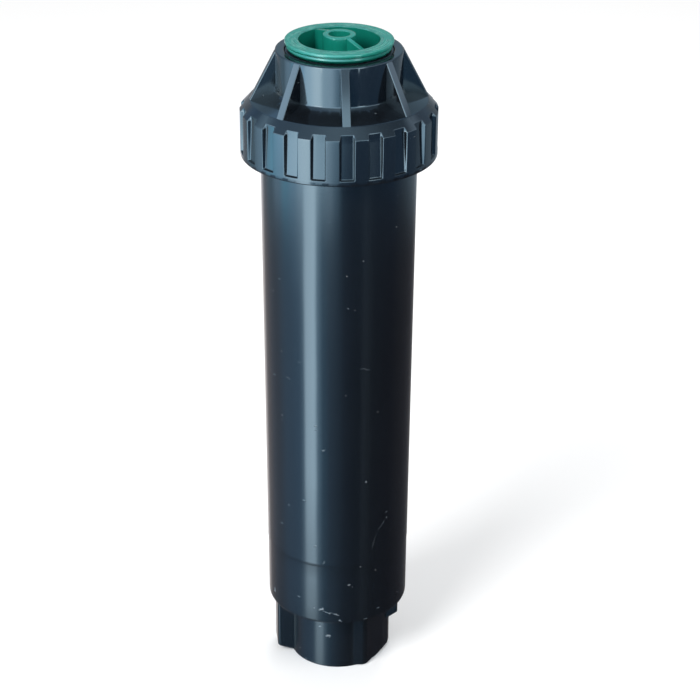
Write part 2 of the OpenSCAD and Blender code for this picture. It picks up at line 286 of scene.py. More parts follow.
def screw(z, angle, pitch, low, high, depth, root_share=0.56, crest_share=0.28):
    """Rise over its root of a right-hand thread, up to depth, that fades in at low and out at high."""
    phase = ((z - low) / pitch - angle / 360) % 1.0
    away = abs(phase - 0.5) * 2
    tooth = 1 - min(1.0, max(0.0, (away - crest_share) / (root_share - crest_share)))
    fade_length = 0.25 * pitch
    fade = smooth(low, low + fade_length, z) * (1 - smooth(high - fade_length, high, z))
    return depth * tooth * fade


# ---------------------------------------------------------------- materials

class Graph:
    """Short way to wire the nodes of a material or of the room."""

    def __init__(self, tree):
        self.tree = tree

    def add(self, kind, inputs=None, **settings):
        node = self.tree.nodes.new(kind)
        for key, value in settings.items():
            setattr(node, key, value)
        for key, value in (inputs or {}).items():
            self.fill(node.inputs[key], value)
        return node

    def fill(self, socket, value):
        """Gives a socket a plain value or another node's output."""
        if isinstance(value, bpy.types.NodeSocket):
            self.tree.links.new(value, socket)
        else:
            socket.default_value = value

    def band(self, value, low, high, to_low=0.0, to_high=1.0, ease="LINEAR"):
        """Maps low..high to to_low..to_high and holds both ends."""
        inputs = {"Value": value, "From Min": low, "From Max": high, "To Min": to_low, "To Max": to_high}
        node = self.add("ShaderNodeMapRange", inputs, interpolation_type=ease, clamp=True)
        return node.outputs["Result"]

    def math(self, operation, a, b=0.0):
        return self.add("ShaderNodeMath", {0: a, 1: b}, operation=operation).outputs["Value"]

    def vector(self, operation, a, b=None):
        """A vector operation. LENGTH and DOT_PRODUCT give a number, and SCALE takes a number for b."""
        inputs = {0: a}
        if b is not None:
            inputs["Scale" if operation == "SCALE" else 1] = b
        node = self.add("ShaderNodeVectorMath", inputs, operation=operation)
        return node.outputs["Value" if operation in ("LENGTH", "DOT_PRODUCT") else "Vector"]

    def parts(self, vector):
        """The X, Y and Z outputs of a vector."""
        return self.add("ShaderNodeSeparateXYZ", {"Vector": vector}).outputs

    def join(self, **parts):
        """A vector made of X, Y and Z parts."""
        return self.add("ShaderNodeCombineXYZ", parts).outputs["Vector"]

    def mix(self, share, a, b):
        """Colour a where share is 0, colour b where it is 1."""
        node = self.add("ShaderNodeMix", data_type="RGBA")
        for key, value in (("Factor", share), ("A", a), ("B", b)):
            socket = next(socket for socket in node.inputs if socket.name == key and socket.enabled)
            self.fill(socket, value)
        return next(socket for socket in node.outputs if socket.enabled)

    def choose(self, share, a, b):
        """Shader a where share is 0, shader b where it is 1."""
        return self.add("ShaderNodeMixShader", {0: share, 1: a, 2: b}).outputs[0]


class Look(Graph):
    """The nodes of one material."""

    def __init__(self, name):
        self.material = bpy.data.materials.new(name)
        self.material.use_nodes = True
        super().__init__(self.material.node_tree)
        self.shader = self.tree.nodes["Principled BSDF"]
        self.place = self.add("ShaderNodeTexCoord").outputs["Object"]

    def give(self, **inputs):
        """Sets inputs of the shader. An underscore stands for a space in an input's name."""
        for key, value in inputs.items():
            self.fill(self.shader.inputs[key.replace("_", " ")], value)

    def scaled(self, x, y, z):
        """The place in space, stretched along the axes."""
        return self.add("ShaderNodeMapping", {"Vector": self.place, "Scale": (x, y, z)}).outputs["Vector"]

    def clouds(self, scale, detail, vector=None, roughness=0.5):
        """A noise texture's outputs."""
        inputs = {"Vector": vector or self.place, "Scale": scale, "Detail": detail, "Roughness": roughness}
        return self.add("ShaderNodeTexNoise", inputs).outputs

    def noise(self, scale, detail, vector=None):
        """Noise between 0 and 1, mostly near 0.5."""
        return self.clouds(scale, detail, vector, roughness=0.55)["Fac"]

    def bump(self, height, strength, distance, under=None):
        """A normal with the height's relief, on top of another normal."""
        inputs = {"Height": height, "Strength": strength, "Distance": distance}
        if under is not None:
            inputs["Normal"] = under
        return self.add("ShaderNodeBump", inputs).outputs["Normal"]


def sparse(m, place, scale, share, size, core):
    """Spots in a share of the cells of a pattern: 1 from the core of a spot inwards, 0 beyond its size."""
    cells = m.add("ShaderNodeTexVoronoi", {"Vector": place, "Scale": scale, "Randomness": 1.0})
    spot = m.band(cells.outputs["Distance"], size, size * core)
    pick = m.add("ShaderNodeSeparateColor", {"Color": cells.outputs["Color"]}).outputs[0]
    return m.math("MULTIPLY", spot, m.band(pick, 1 - share, 1 - share * 0.8))


def specks(m, scale, share, size):
    """Sparse round spots: 1 in a spot, 0 elsewhere."""
    return sparse(m, m.place, scale, share, size, core=0.6)


def nicks(m, scale, stretch, turn, share, size):
    """Sparse short ragged marks along one direction, turned by radians: 1 in a mark, 0 elsewhere."""
    inputs = {"Vector": m.place, "Rotation": turn, "Scale": stretch}
    turned = m.add("ShaderNodeMapping", inputs).outputs["Vector"]
    shift = m.vector("SCALE", m.clouds(900.0, 2.0)["Color"], 0.0012)
    return sparse(m, m.vector("ADD", turned, shift), scale, share, size, core=0.5)


def chip(m, place, azimuth, height, radius, half_length, half_width, slope):
    """A mark on the outside of a round wall: 1 in the mark, 0 elsewhere."""
    a, s = math.radians(azimuth), math.radians(slope)
    out = Vector((math.sin(a), -math.cos(a), 0))
    side = Vector((math.cos(a), math.sin(a), 0))
    up = Vector((0, 0, 1))
    half_depth = 4.0
    core = 0.55
    along = (side * math.cos(s) + up * math.sin(s)) / (half_length * MM)
    across = (up * math.cos(s) - side * math.sin(s)) / (half_width * MM)
    inward = out / (half_depth * MM)
    away = m.vector("SUBTRACT", place, (out * radius + up * height) * MM)
    parts = {key: m.vector("DOT_PRODUCT", away, axis) for key, axis in zip("XYZ", (along, across, inward))}
    return m.band(m.vector("LENGTH", m.join(**parts)), 1.0, core)


# Knocks on the case, most of them near its foot: azimuth from the front, height, radius of the wall,
# half length, half width and slope.
CHIPS = (
    (-13.6, 26.3, 21.9, 0.85, 0.6, 20), (-7.6, 25.4, 21.9, 1.7, 0.14, -8),
    (-0.6, 24.7, 21.9, 1.2, 0.2, -22), (-10.8, 11.9, 15.1, 0.8, 0.6, -25),
    (-20.4, 14.9, 15.1, 0.6, 0.2, -15), (8.8, 35.3, 21.9, 0.36, 0.36, 0),
    (-10.8, 43.5, 22.0, 0.7, 0.14, 60), (-64.8, 25.6, 21.9, 0.25, 1.0, 0),
    (2.5, 22.3, 21.9, 0.5, 0.12, -15), (42.4, 56.7, 22.1, 0.4, 0.25, 0),
    (37.6, 54.8, 22.1, 2.2, 0.03, 45), (30.6, 49.8, 22.0, 3.0, 0.03, 72),
    (-10.8, 83.5, 22.2, 0.7, 0.10, 50), (-42.8, 61.1, 22.1, 0.12, 0.5, 0),
    (22.0, 71.6, 22.2, 0.24, 0.18, 0), (6.8, 130.7, 22.5, 0.3, 0.16, -40),
    (-42.0, 105.2, 22.4, 1.0, 0.09, -10), (20.8, 110.0, 22.4, 1.7, 0.07, -20),
)


def black_plastic():
    """Glossy black plastic with a faint film, dust, scratches and knocks, and rougher near the foot."""
    m = Look("case_black_plastic")
    film_tint = (0.036, 0.040, 0.044, 1)
    scratch_tint = (0.16, 0.18, 0.19, 1)
    chip_tint = (0.30, 0.33, 0.35, 1)
    dust_tint = (0.4, 0.41, 0.4, 1)
    base = m.mix(m.noise(38.0, 4.0), (0.0036, 0.0046, 0.0064, 1), (0.0056, 0.0072, 0.0096, 1))
    near_foot = m.band(m.parts(m.place)["Z"], 0.075, 0.03)
    dust = specks(m, 420.0, share=0.05, size=0.085)
    film = m.band(m.noise(21.0, 5.0), 0.56, 0.8, 0.0, 0.08)
    across = nicks(m, 210.0, stretch=(1.0, 1.0, 4.5), turn=(0.12, 0.05, 0.0), share=0.035, size=0.16)
    slanted = nicks(m, 240.0, stretch=(1.0, 1.0, 0.2), turn=(0.7, -0.5, 0.3), share=0.016, size=0.10)
    scratches = m.math("MAXIMUM", across, slanted)
    knocks = nicks(m, 150.0, stretch=(1.0, 1.0, 1.6), turn=(0.3, 0.2, 0.0), share=0.05, size=0.14)
    chips = m.math("MULTIPLY", knocks, near_foot)
    wobble = m.vector("SUBTRACT", m.clouds(1100.0, 3.0)["Color"], (0.5, 0.5, 0.5))
    ragged = m.vector("ADD", m.place, m.vector("SCALE", wobble, 0.0022))
    for one in CHIPS:
        chips = m.math("MAXIMUM", chips, chip(m, ragged, *one))
    marks = m.math("MAXIMUM", scratches, chips)
    base = m.mix(film, base, film_tint)
    base = m.mix(m.math("MULTIPLY", scratches, 0.4), base, scratch_tint)
    base = m.mix(m.math("MULTIPLY", dust, 0.5), base, dust_tint)
    base = m.mix(m.math("MULTIPLY", chips, 0.5), base, chip_tint)
    streaks = m.noise(60.0, 3.0, m.scaled(1.0, 1.0, 0.12))
    rough = m.band(streaks, 0.3, 0.7, 0.10, 0.155)
    rough = m.math("ADD", rough, m.math("MULTIPLY", near_foot, 0.05))
    rough = m.math("ADD", rough, m.math("MULTIPLY", m.math("MAXIMUM", dust, marks), 0.4))
    fine = m.bump(m.noise(2600.0, 2.0), 0.06, 0.00005)
    wavy = m.bump(m.noise(55.0, 2.0, m.scaled(1.0, 1.0, 0.35)), 0.09, 0.0012, fine)
    dented = m.bump(marks, 0.3, 0.00008, wavy)
    m.give(Base_Color=base, Roughness=rough, Specular_IOR_Level=0.55, Normal=dented)
    return m.material


def green_plastic():
    """Glossy green plastic, with wear and painted shade of lettering on the top face of the flange, and
    painted shade on the wall of the bowl.
    """
    m = Look("plug_green_plastic")
    scuff_tint = (0.19, 0.47, 0.38, 1)
    bare_tint = (0.20, 0.44, 0.37, 1)
    lettering_shade_tint = (0.002, 0.085, 0.066, 1)
    bowl_shade_tint = (0.001, 0.055, 0.042, 1)
    dust_tint = (0.4, 0.6, 0.52, 1)
    cloud = m.noise(120.0, 4.0)
    base = m.mix(cloud, (0.004, 0.170, 0.124, 1), (0.008, 0.225, 0.165, 1))
    point = m.parts(m.place)
    away = m.vector("LENGTH", m.join(X=point["X"], Y=point["Y"]))
    bearing = m.math("ARCTAN2", point["Y"], point["X"])
    round_the_axis = m.join(X=away, Y=m.math("MULTIPLY", bearing, 0.003))
    flange_top = m.math("MULTIPLY", m.band(point["Z"], 0.2034, 0.2039), m.band(away, 0.0112, 0.0118))
    arcs = m.band(m.noise(2600.0, 2.0, m.join(X=away)), 0.5, 0.66)
    broken = m.band(m.noise(170.0, 3.0), 0.42, 0.62)
    scuff = m.math("MULTIPLY", m.math("MULTIPLY", arcs, broken), flange_top)
    # Dark arcs round the axis on the flange's top: painted shade for the shadows of raised lettering,
    # which is left out. A bump further down presses them in a little.
    lettering_shade = m.math("MULTIPLY", m.band(m.noise(1500.0, 2.0, round_the_axis), 0.54, 0.64), flange_top)
    bare = m.math("MULTIPLY", m.band(m.noise(1100.0, 2.0, round_the_axis), 0.52, 0.74), flange_top)
    # Painted shade: the outer wall of the bowl is darkened, more so towards the bowl's floor.
    bowl_wall = m.math("MULTIPLY", m.band(away, 0.0094, 0.0112), m.band(away, 0.0128, 0.0122))
    painted_bowl_shade = m.math("MULTIPLY", bowl_wall, m.band(point["Z"], 0.2037, 0.1972, 0.25, 1.0))
    base = m.mix(m.math("MULTIPLY", painted_bowl_shade, 0.75), base, bowl_shade_tint)
    base = m.mix(m.math("MULTIPLY", lettering_shade, 0.55), base, lettering_shade_tint)
    base = m.mix(m.math("MULTIPLY", bare, 0.45), base, bare_tint)
    base = m.mix(m.math("MULTIPLY", scuff, 0.5), base, scuff_tint)
    dust = specks(m, 520.0, share=0.04, size=0.10)
    base = m.mix(m.math("MULTIPLY", dust, 0.5), base, dust_tint)
    rough = m.math("ADD", m.band(cloud, 0.3, 0.7, 0.13, 0.22), m.math("MULTIPLY", scuff, 0.22))
    fine = m.bump(m.noise(2200.0, 3.0), 0.08, 0.00005)
    arc_dip = m.bump(lettering_shade, 0.25, -0.00006, fine)
    m.give(Base_Color=base, Roughness=rough, Normal=m.bump(scuff, 0.3, 0.00005, arc_dip))
    m.give(Subsurface_Weight=0.06, Subsurface_Radius=(0.2, 1.0, 0.7), Subsurface_Scale=0.0008)
    return m.material


def moulded(name, low, high, rough):
    """Satin moulded plastic in two close tones."""
    m = Look(name)
    dust_tint = (0.2, 0.19, 0.17, 1)
    dust = m.math("MULTIPLY", specks(m, 420.0, share=0.05, size=0.12), 0.4)
    m.give(
        Base_Color=m.mix(dust, m.mix(m.noise(90.0, 4.0), low, high), dust_tint),
        Roughness=m.band(m.noise(150.0, 3.0), 0.3, 0.7, rough - 0.05, rough + 0.06),
        Normal=m.bump(m.noise(1800.0, 3.0), 0.12, 0.00006),
    )
    return m.material


def seal_rubber():
    """Dull black rubber."""
    m = Look("seal_rubber")
    dust_tint = (0.3, 0.3, 0.28, 1)
    dust = m.math("MULTIPLY", specks(m, 380.0, share=0.05, size=0.10), 0.2)
    black = m.mix(m.noise(160.0, 4.0), (0.004, 0.005, 0.007, 1), (0.008, 0.010, 0.012, 1))
    m.give(
        Base_Color=m.mix(dust, black, dust_tint),
        Roughness=m.band(m.noise(300.0, 3.0), 0.3, 0.7, 0.30, 0.40),
        Normal=m.bump(m.noise(2400.0, 3.0), 0.1, 0.00006),
    )
    return m.material


def drawn_steel():
    """Bright spring wire."""
    m = Look("drawn_steel")
    m.give(
        Metallic=1.0,
        Base_Color=m.mix(m.noise(240.0, 3.0), (0.42, 0.42, 0.42, 1), (0.62, 0.62, 0.61, 1)),
        Roughness=m.band(m.noise(500.0, 3.0), 0.3, 0.7, 0.22, 0.36),
        Normal=m.bump(m.noise(3000.0, 2.0, m.scaled(1.0, 1.0, 6.0)), 0.1, 0.00004),
    )
    return m.material


def woven_mesh():
    """Fine square mesh, wrapped round the axis."""
    m = Look("woven_mesh")
    waves_round = 90.0
    phase_per_metre = 14000.0
    point = m.parts(m.place)
    turn = m.math("ARCTAN2", point["Y"], point["X"])
    across = m.math("SINE", m.math("MULTIPLY", turn, waves_round))
    up = m.math("SINE", m.math("MULTIPLY", point["Z"], phase_per_metre))
    weave = m.math("MAXIMUM", across, up)
    m.give(
        Metallic=1.0,
        Base_Color=m.mix(m.band(weave, 0.2, 0.7), (0.03, 0.03, 0.03, 1), (0.55, 0.55, 0.53, 1)),
        Roughness=0.38,
        Normal=m.bump(weave, 0.6, 0.0001),
    )
    return m.material


BLACK = black_plastic()
GREEN = green_plastic()
RUBBER = seal_rubber()
STEEL = drawn_steel()
MESH = woven_mesh()
GREY = moulded("riser_base_grey_plastic", (0.050, 0.053, 0.056, 1), (0.072, 0.075, 0.078, 1), 0.42)
NATURAL = moulded("natural_acetal", (0.62, 0.61, 0.55, 1), (0.72, 0.71, 0.65, 1), 0.38)


# ---------------------------------------------------------------- case

def case_shape(r, z, angle):
    """Cuts the pipe thread out of the inlet's wall and raises the cap's thread on the rim."""
    if on_wall(r, INLET_R) and 0.4 < z < 14.9:
        narrow = {"root_share": 0.95, "crest_share": 0.1}
        return r + screw(z, angle, PIPE_PITCH, low=0.6, high=14.6, depth=1.05, **narrow)
    if on_wall(r, CASE_THREAD_R) and z > 171.0:
        return r + screw(z, angle, CAP_PITCH, low=170.9, high=182.1, depth=1.1)
    return r


def corner_foot(x, y):
    """Underside of a spanner corner."""
    return 0.3


def full_lug_foot(x, y):
    """Underside of the full lug, which rises a little outwards."""
    return 0.22 + 0.38 * max(0.0, math.hypot(x, y) - 15.3)


def short_lug_foot(x, y):
    """Underside of the short lug, which ends on a slope."""
    return 7.4 + 0.75 * (math.hypot(x, y) - 12)


def lug_plan(shoulder, reach):
    """Plan of a wing lug of the boss."""
    return [(13, 5.9), (shoulder, 5.9), (shoulder + 0.5, 5.2), (reach, -1.5), (reach, -2.9), (13, -2.9)]


def make_case():
    """Tapered tube with a mould line, the boss with its corners and lugs, and the ribs inside."""
    shell = Shell()
    wall_foot_z = 21.8
    wall_top_z = 170.3
    wall_top_r = 22.75
    seam_z = 42.0
    seam_r = FOOT_R + (wall_top_r - FOOT_R) * (seam_z - wall_foot_z) / (wall_top_z - wall_foot_z)
    outside = [
        (9.9, 0.0, 0.0), (BOSS_R, 0.0, 0.3), (BOSS_R, BOSS_TOP, 0.3), (FOOT_R, BOSS_TOP, 1.1),
        (seam_r - 0.03, seam_z - 0.2, 0.0), (seam_r + 0.06, seam_z + 0.05, 0.0),
        (seam_r + 0.05, seam_z + 1.0, 0.0), (wall_top_r, wall_top_z, 0.15), (CASE_THREAD_R, 170.7, 0.15),
    ]
    rim = 0.4
    seat_r = 9.2
    seat_z = 25.2
    port_r = 7.6
    inlet_depth = 15.0
    inside = [
        (CASE_THREAD_R, CASE_TOP - rim, 0.0), (CASE_THREAD_R - rim, CASE_TOP, 0.0),
        (CASE_BORE_R + rim, CASE_TOP, 0.0), (CASE_BORE_R, CASE_TOP - rim, 0.0),
        (CASE_BORE_R, CASE_FLOOR, 0.5), (seat_r, CASE_FLOOR, 0.3), (seat_r - 0.2, seat_z, 0.2),
        (port_r + 0.1, seat_z, 0.2), (port_r, inlet_depth, 0.3), (INLET_R, inlet_depth, 0.2),
        (INLET_R, inlet_depth - 0.2, 0.0),
    ]
    outline = split(rounded(outside, 5, closed=False), 6.0)
    outline += [(CASE_THREAD_R, z) for z in fine_rows(171.0, 182.2, step=0.25)]
    outline += split(rounded(inside, 3, closed=False), 8.0)
    outline += [(INLET_R, z) for z in fine_rows(14.7, 0.6, step=0.17)]
    shell.lathe(outline, even(288), case_shape)
    block_top = BOSS_TOP + 0.4
    edge = 0.3
    corner = [
        (5, -12), (5, -14.2), (8.3, -14.05), (9.4, -13.5),
        (14.6, -5.2), (16.3, -1.8), (16.8, 0.8), (13, 2.5),
    ]
    for turn in (0, 180):
        shell.block(corner, corner_foot, block_top, edge, turn)
    shell.block(lug_plan(shoulder=18.7, reach=20.0), full_lug_foot, block_top, edge, turn=180)
    shell.block(lug_plan(shoulder=18.2, reach=19.4), short_lug_foot, block_top, edge, turn=0)
    ribs = 6
    rib = [(19.4, 23.7), (20.6, 23.7), (20.6, 164.7), (19.4, 164.2)]
    for i in range(ribs):
        shell.plate(rib, thickness=1.2, edge=0.15, turn=360 / ribs * i)
    shell.build("case_shell", "case", "housing", BLACK)


# ---------------------------------------------------------------- cap

def groove_columns():
    """Column angles: offsets from the middle of each grip groove, closest together at its sides."""
    offsets = [0.0, 1.4, 2.6, 3.15, 3.35, 3.5, 3.7, 3.95, 4.15, 4.32, 4.5, 4.9, 6.2]
    pitch = 360 / GROOVES
    columns = []
    for i in range(GROOVES):
        centre = CAP_CLOCK + pitch * i
        columns += [centre - offset for offset in reversed(offsets[1:])]
        columns += [centre + offset for offset in offsets]
        columns.append(centre + pitch / 2)
    return columns


def groove_depth(angle):
    """1 in a grip groove, 0 on a land."""
    pitch = 360 / GROOVES
    away = abs((angle - CAP_CLOCK + pitch / 2) % pitch - pitch / 2)
    return 1 - smooth(3.3, 4.4, away)


def cap_shape(r, z, angle):
    """Cuts the grip grooves, deeper towards their tops, and raises the thread inside the skirt."""
    deepest_r = 27.3
    groove_foot_z = 172
    if r > deepest_r and z > groove_foot_z - 0.5:
        drafted = 0.75 + 0.042 * (z - groove_foot_z)
        cut = min(drafted, r - deepest_r) * smooth(groove_foot_z - 0.25, groove_foot_z + 0.05, z)
        return r - cut * groove_depth(angle)
    if on_wall(r, CAP_THREAD_R) and 171.4 < z < 183.5:
        return r - screw(z, angle + 180, CAP_PITCH, low=170.9, high=183.5, depth=1.15)
    return r


def make_cap():
    """Skirt, sloping roof, neck and the hollow inside them, with gussets from the neck to the roof."""
    shell = Shell()
    corners = [(24.95, SKIRT_Z, 0.0), (SKIRT_R, SKIRT_Z, 0.35), (SKIRT_R, 171.4, 0.0)]
    groove_foot_rows = (171.6, 171.75, 171.8, 171.85, 171.9, 171.95, 172.0, 172.05, 172.2, 172.6)
    skirt = rounded(corners, closed=False)
    skirt += [(SKIRT_R, z) for z in groove_foot_rows + (174.5, 177.0, 180.0, 182.4)]
    neck_r = 18.25
    mouth_r = 15.6
    lip_z = 200.0
    pocket_r = 16.4
    well_r = 20.4
    well_z = 185.6
    brow = rounded([
        (SKIRT_R, 182.6, 0.0), (SKIRT_R, EDGE_Z, 0.45), (27.45, 184.72, 0.0), (27.3, 184.88, 0.0),
        (27.15, 185.04, 0.0), (25.6, 186.7, 0.7), (19.2, 188.55, 0.0), (neck_r, 189.6, 0.8),
        (neck_r, NECK_Z, 0.45), (mouth_r, NECK_Z, 0.4), (mouth_r, lip_z, 0.15), (pocket_r, lip_z, 0.0),
        (pocket_r, well_z, 0.2), (well_r, well_z, 0.1), (well_r, ROOF_Z, 0.1), (CAP_THREAD_R, ROOF_Z, 0.2),
        (CAP_THREAD_R, 183.4, 0.0),
    ], closed=False)
    outline = skirt + split(brow, 3.0)
    outline += [(CAP_THREAD_R, z) for z in fine_rows(183.3, 170.7, step=0.3)]
    shell.lathe(outline, groove_columns(), cap_shape)
    gusset = [(17.0, 187.6), (17.0, 200.75), (18.35, 200.75), (25.62, 186.75), (25.2, 185.9)]
    for i in range(GUSSETS):
        shell.plate(gusset, thickness=2.5, edge=0.3, turn=CAP_CLOCK + 360 / GUSSETS * i)
    shell.build("screw_cap", "screw_cap", "cap", BLACK)


# ---------------------------------------------------------------- flush plug

def plug_shape(r, z, angle):
    """Raises the plug's thread."""
    if on_wall(r, PLUG_THREAD_R) and 186.7 < z < 194.9:
        return r + screw(z, angle, PLUG_PITCH, low=186.9, high=194.1, depth=0.75)
    return r


def make_plug():
    """Threaded foot, tier and flange round a bowl, with a hollow hub in it and a bar across it."""
    shell = Shell()
    foot_z = 186.6
    floor_z = PLUG_SEAT_Z + 1.4
    hub_top = 205.3
    foot_bore_r = 7.9
    skirt_r = 13.6
    flange_r = 15.55
    bowl_r = 11.6
    hub_r = 4.65
    hole_r = 3.05
    lower = rounded([
        (0.0, RISER_TOP, 0.0), (foot_bore_r, RISER_TOP, 0.5), (foot_bore_r, foot_z, 0.2),
        (PLUG_THREAD_R, foot_z, 0.2), (PLUG_THREAD_R, foot_z + 0.3, 0.0),
    ], closed=False)
    thread = [(PLUG_THREAD_R, z) for z in fine_rows(187.0, RISER_TOP, step=0.2)]
    upper = rounded([
        (PLUG_THREAD_R, PLUG_SEAT_Z, 0.0), (skirt_r, PLUG_SEAT_Z, 0.4), (skirt_r, 200.98, 0.2),
        (14.72, 201.3, 0.4), (15.1, 201.85, 0.3), (15.02, 202.5, 0.2), (14.8, 202.6, 0.08),
        (14.8, 202.85, 0.08), (flange_r - 0.05, 202.9, 0.2), (flange_r, 203.3, 0.3),
        (flange_r - 0.05, PLUG_TOP, 0.45), (bowl_r, PLUG_TOP, 0.3), (bowl_r - 0.1, floor_z, 0.8),
        (hub_r + 0.1, floor_z, 0.4), (hub_r, hub_top, 0.3), (hole_r, hub_top, 0.25),
        (hole_r - 0.05, floor_z, 0.2), (0.0, floor_z, 0.0),
    ], closed=False)
    outline = lower + thread + split(upper, 2.5)
    shell.lathe(outline, even(160), plug_shape, closed=False)
    half_bar = [(3.6, 196.0), (11.9, 196.0), (11.9, 203.75), (4.45, 205.15), (3.6, 205.15)]
    for turn in (0, 180):
        shell.plate(half_bar, thickness=1.3, edge=0.22, turn=PLUG_CLOCK + turn)
    shell.build("flush_plug_shell", "plug", "flush_plug", GREEN)


# ---------------------------------------------------------------- riser, seal and spring

def riser_shape(r, z, angle):
    """Raises two faint mould lines on the outer wall and the thread inside the top."""
    if on_wall(r, RISER_R):
        away = min(abs((angle - seam + 180) % 360 - 180) for seam in (20, 200))
        return r + 0.04 * (1 - smooth(0.6, 2.0, away)) - 0.02
    if on_wall(r, RISER_THREAD_R) and 187.0 < z < 194.0:
        return r - screw(z, angle + 180, PLUG_PITCH, low=186.9, high=194.1, depth=0.75)
    return r


def make_riser():
    """Tube with an O-ring groove near its foot and a ledge under the thread in its top."""
    shell = Shell()
    bore_r = 10.2
    ledge_r = 8.4
    ring_groove = [
        (RISER_R, 35.0), (11.75, 35.05), (11.45, 35.3), (11.42, 35.6),
        (11.45, 35.9), (11.75, 36.15), (RISER_R, 36.2),
    ]
    outline = [(bore_r, 33.2), (11.9, 33.2), (RISER_R, 33.3)] + ring_groove
    outline += split([(RISER_R, 36.3), (RISER_R, 193.7)], 6.0)
    outline += [(11.9, 194.0), (11.6, RISER_TOP), (10.5, RISER_TOP), (RISER_THREAD_R, 194.1)]
    outline += [(RISER_THREAD_R, z) for z in fine_rows(194.0, 187.0, step=0.2)]
    outline += [(RISER_THREAD_R, 184.7), (RISER_THREAD_R - 0.1, 184.6), (ledge_r + 0.1, 184.6)]
    outline += [(ledge_r, 184.5), (ledge_r, 183.0), (bore_r, 181.2)]
    outline += split([(bore_r, 181.0), (bore_r, 33.6)], 10.0)
    shell.lathe(outline, even(144), riser_shape)
    shell.build("riser_shell", "riser", "riser_tube", BLACK)


def make_wiper():
    """Seal with a flange, a sleeve that fills the cap's mouth and two lips against the riser."""
    shell = Shell()
    flange, shoulder, top = 183.75, 199.9, 200.9
    lip = 193.4
    wipe_r = 12.05
    outline = rounded([
        (14.7, flange, 0.1), (20.1, flange, 0.15), (20.1, flange + 1.8, 0.15), (16.1, flange + 1.8, 0.1),
        (16.1, shoulder, 0.2), (15.4, shoulder, 0.1), (15.4, top, 0.35), (13.9, top, 0.35),
        (13.9, lip + 0.6, 0.4), (wipe_r, lip, 0.1), (wipe_r, lip - 0.4, 0.1), (13.05, lip - 1.3, 0.3),
        (wipe_r, lip - 2.4, 0.1), (wipe_r, lip - 2.8, 0.1), (13.65, lip - 2.1, 0.2),
        (14.7, lip - 2.1, 0.3),
    ])
    shell.lathe(outline, even(128))
    shell.build("wiper_seal_ring", "seal_stack", "wiper_seal", RUBBER)


def coil_path(coil_r, wire_r, low, high, turns):
    """Path of a coil's wire, with a close turn at each end."""
    per_turn = 40
    end_share = 1 / turns
    points = []
    for i in range(turns * per_turn + 1):
        t = i / (turns * per_turn)
        if t < end_share:
            z = low + 2 * wire_r * t / end_share
        elif t > 1 - end_share:
            z = high - 2 * wire_r * (1 - t) / end_share
        else:
            z = low + 2 * wire_r + (high - low - 4 * wire_r) * (t - end_share) / (1 - 2 * end_share)
        a = 2 * math.pi * turns * t
        points.append((coil_r * math.cos(a), coil_r * math.sin(a), z))
    return points


def make_spring():
    """Coil of round wire, with a close turn at each end."""
    wire_r = 0.7
    path = coil_path(coil_r=16.8, wire_r=wire_r, low=39.0 + wire_r, high=181.3 - wire_r, turns=13)
    shell = Shell()
    shell.tube(path, wire_r, sides=12)
    piece = shell.build("retraction_coil", "seal_stack", "retraction_spring", STEEL)
    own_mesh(piece)


make_case()
make_cap()
make_plug()
make_riser()
make_wiper()
make_spring()

# Pieces that keep the shape of their CAD node.
CARRIED = {
    "body_gasket": RUBBER, "seal_retainer": NATURAL, "spring_washer": NATURAL, "ratchet_ring": NATURAL,
    "riser_base": GREY, "base_o_ring": RUBBER, "check_seal": RUBBER, "check_button": GREY,
    "filter_basket": NATURAL, "filter_mesh": MESH, "plug_washer": RUBBER,
}
for node_name, material in CARRIED.items():
    materials = nodes[node_name].data.materials
    materials.clear()
    materials.append(material)


# ---------------------------------------------------------------- floor and light

def make_floor():
    """White floor: lit near the part, plain white far from it, and clear when looked at from below."""
    half = 4
    mesh = bpy.data.meshes.new("floor")
    corners = [(-half, -half, 0), (half, -half, 0), (half, half, 0), (-half, half, 0)]
    mesh.from_pydata(corners, [], [(0, 1, 2, 3)])
    floor = bpy.data.objects.new("floor", mesh)
    bpy.context.scene.collection.objects.link(floor)
    m = Look("floor_white")
    m.give(Base_Color=WHITE, Roughness=0.9, Specular_IOR_Level=0.1)
    seen = m.add("ShaderNodeLightPath").outputs["Is Camera Ray"]
    far = m.math("MULTIPLY", m.band(m.vector("LENGTH", m.place), 0.35, 0.8), seen)
    below = m.math("MULTIPLY", m.add("ShaderNodeNewGeometry").outputs["Backfacing"], seen)
    plain = m.add("ShaderNodeEmission", {"Color": WHITE}).outputs[0]
    clear = m.add("ShaderNodeBsdfTransparent").outputs[0]
    upper = m.choose(far, m.shader.outputs[0], plain)
    m.tree.links.new(m.choose(below, upper, clear), m.tree.nodes["Material Output"].inputs["Surface"])
    mesh.materials.append(m.material)
    floor.visible_glossy = False


# The room, as colours by compass direction: 0 is the front camera's side and positive is to its right.
# Steeply down, which the foot of the case reflects.
LOW_SIDE = (
    (-180, (0.14, 0.13, 0.13)), (-168, (0.41, 0.39, 0.38)), (-157, (0.44, 0.41, 0.41)),
    (-145, (0.19, 0.18, 0.19)), (-112, (0.14, 0.17, 0.22)), (-80, (0.18, 0.32, 0.5)),
    (-64, (0.22, 0.42, 0.64)), (-50, (0.7, 1.0, 1.2)), (-37, (0.66, 0.94, 1.15)),
    (-28, (0.35, 0.6, 0.85)), (-22, (0.17, 0.37, 0.57)), (-10, (0.11, 0.21, 0.33)),
    (2, (0.065, 0.13, 0.21)), (10, (0.03, 0.065, 0.11)), (34, (0.01, 0.02, 0.04)),
    (40, (0.06, 0.09, 0.12)), (56, (0.015, 0.02, 0.03)), (110, (0.03, 0.03, 0.04)),
    (180, (0.14, 0.13, 0.13)),
)
